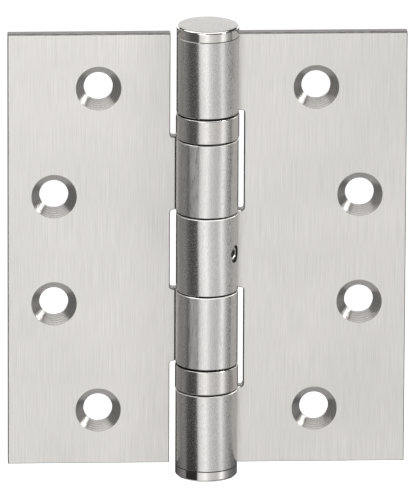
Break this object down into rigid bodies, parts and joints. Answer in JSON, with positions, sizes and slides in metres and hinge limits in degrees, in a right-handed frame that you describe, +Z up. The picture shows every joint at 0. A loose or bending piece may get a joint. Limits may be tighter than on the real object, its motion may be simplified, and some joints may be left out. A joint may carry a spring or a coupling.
{
  "type": "ball-bearing butt hinge",
  "caption": "Satin steel door hinge with rolled knuckles, ball bearings in its barrel, a pin locked by a set screw, and flat leaves with countersunk screw holes.",
  "frame": {"origin": "on the pin axis, midway between the pin head's top and the bottom plug's underside", "axes": "+Z up along the pin to its head, +X along the frame leaf, +Y out of the leaves' backs"},
  "size_m": [0.1016, 0.0162, 0.1198],
  "materials": {
    "satin_steel": "satin, brushed along the pin",
    "turned_steel": "turned and polished",
    "shell_steel": "drawn and polished",
    "race_steel": "hardened and ground",
    "screw_steel": "plain bright",
    "cage_brass": "stamped"
  },
  "bodies": {
    "frame_side": {"frame_leaf": "satin_steel", "hinge_pin": "turned_steel", "bottom_plug": "turned_steel", "set_screw": "screw_steel", "upper_bearing_shell": "shell_steel", "upper_bearing_frame_race": "race_steel", "lower_bearing_shell": "shell_steel", "lower_bearing_frame_race": "race_steel"},
    "door_side": {"door_leaf": "satin_steel", "upper_bearing_door_race": "race_steel", "lower_bearing_door_race": "race_steel"},
    "upper_ball_set": {"upper_bearing_cage": "cage_brass", "upper_bearing_ball_1": "race_steel", "upper_bearing_ball_2": "race_steel", "upper_bearing_ball_3": "race_steel", "upper_bearing_ball_4": "race_steel", "upper_bearing_ball_5": "race_steel", "upper_bearing_ball_6": "race_steel"},
    "lower_ball_set": {"lower_bearing_cage": "cage_brass", "lower_bearing_ball_1": "race_steel", "lower_bearing_ball_2": "race_steel", "lower_bearing_ball_3": "race_steel", "lower_bearing_ball_4": "race_steel", "lower_bearing_ball_5": "race_steel", "lower_bearing_ball_6": "race_steel"}
  },
  "joints": [
    {"name": "leaf_swing", "type": "hinge", "parent": "frame_side", "child": "door_side", "pos_m": [0, 0, 0], "axis": [0, 0, 1], "range_deg": [-130, 180]},
    {"name": "upper_balls_roll", "type": "hinge", "parent": "frame_side", "child": "upper_ball_set", "pos_m": [0, 0, 0], "axis": [0, 0, 1], "range_deg": [-65, 90]},
    {"name": "lower_balls_roll", "type": "hinge", "parent": "frame_side", "child": "lower_ball_set", "pos_m": [0, 0, 0], "axis": [0, 0, 1], "range_deg": [-65, 90]}
  ],
  "couplings": [
    {"joint": "upper_balls_roll", "follows": "leaf_swing", "ratio": 0.5},
    {"joint": "lower_balls_roll", "follows": "leaf_swing", "ratio": 0.5}
  ]
}
